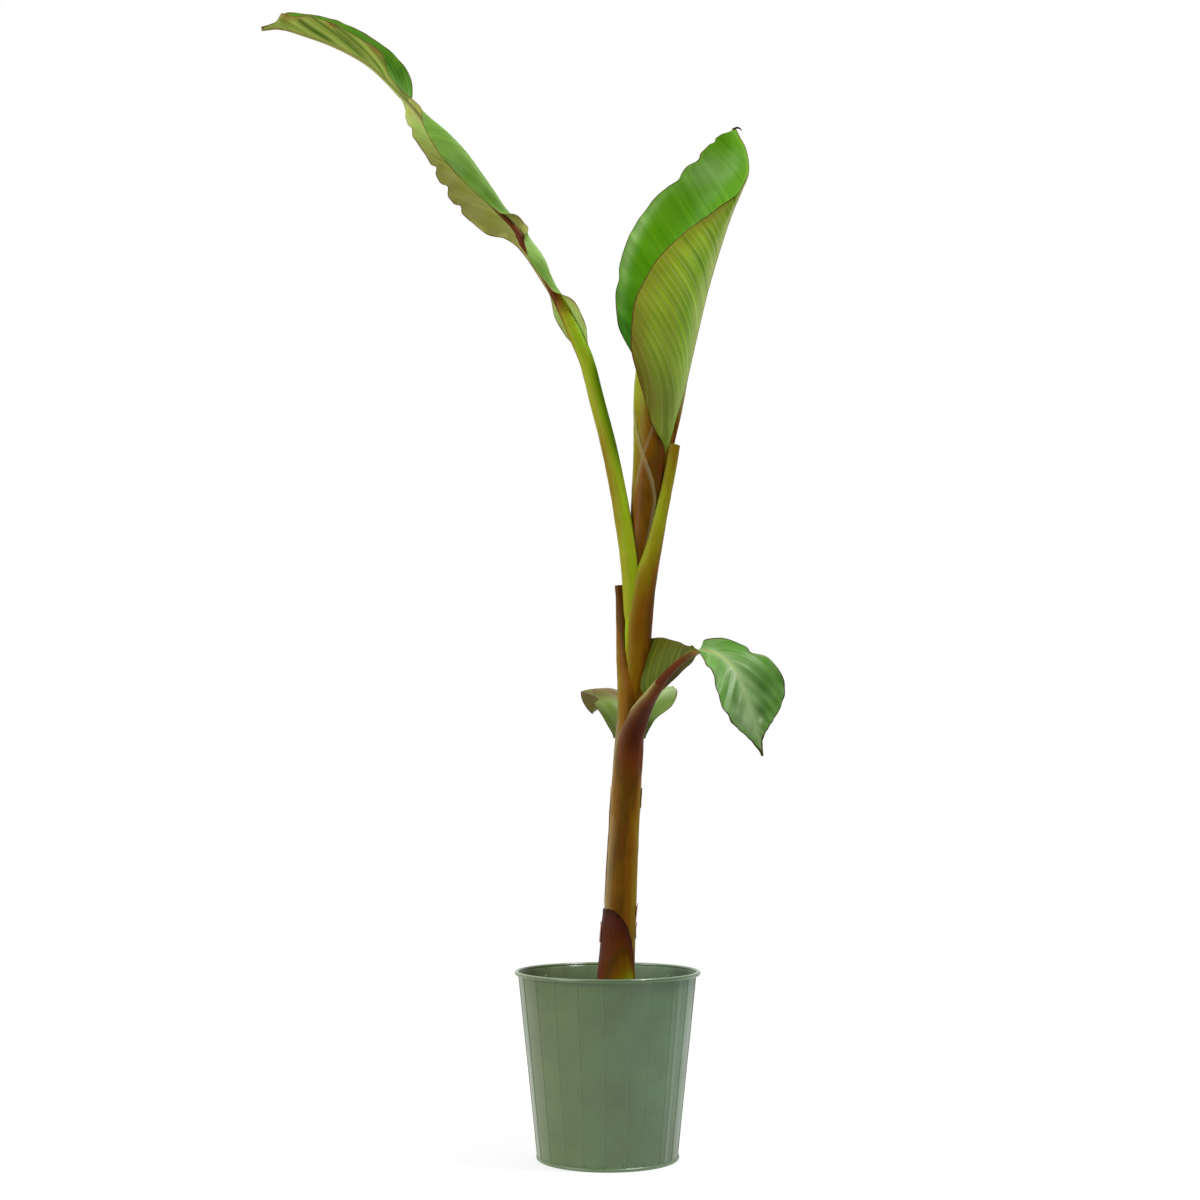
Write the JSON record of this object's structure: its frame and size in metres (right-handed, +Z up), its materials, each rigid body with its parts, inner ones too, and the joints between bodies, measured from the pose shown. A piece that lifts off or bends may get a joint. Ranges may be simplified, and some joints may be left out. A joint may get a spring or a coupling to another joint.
{
  "type": "potted banana plant",
  "caption": "Young banana plant with one leaning stem, a tall folded leaf, a leaf still rolled and short lower leaves, in a tapered sheet-metal bucket pot with a rolled rim.",
  "frame": {"origin": "centre of the pot's flat underside, where it stands on the floor", "axes": "+Z up along the pot's axis, -Y towards the picture's viewer, +X to that viewer's right; the tall leaf leans out to -X"},
  "size_m": [0.7327, 0.3619, 1.6059],
  "materials": {
    "pot_paint": "satin sage green paint on thin sheet",
    "potting_mix": "rough, moist and crumbly",
    "stem_skin": "waxy, olive brown",
    "leaf_tube": "waxy, olive with brown",
    "green_petiole": "waxy, yellow green",
    "olive_petiole": "waxy, olive to red brown",
    "maroon_sheath": "waxy, maroon",
    "dried_sheath": "matt, papery",
    "leaf_blade": "satin, green above and olive below"
  },
  "bodies": {
    "root": {"pot": "pot_paint", "soil": "potting_mix", "pseudostem": "stem_skin", "rolled_leaf_tube": "leaf_tube", "tall_leaf_petiole": "green_petiole", "right_cut_petiole": "olive_petiole", "left_cut_sheath": "maroon_sheath", "drooping_leaf_petiole": "maroon_sheath", "back_leaf_petiole": "maroon_sheath", "foot_sheath": "maroon_sheath", "dried_back_sheath": "dried_sheath", "tall_leaf_base": "leaf_blade", "tall_leaf_middle": "leaf_blade", "tall_leaf_tip": "leaf_blade", "rolled_leaf_blade": "leaf_blade", "drooping_leaf_base": "leaf_blade", "drooping_leaf_blade": "leaf_blade", "back_leaf_blade": "leaf_blade"}
  },
  "joints": []
}
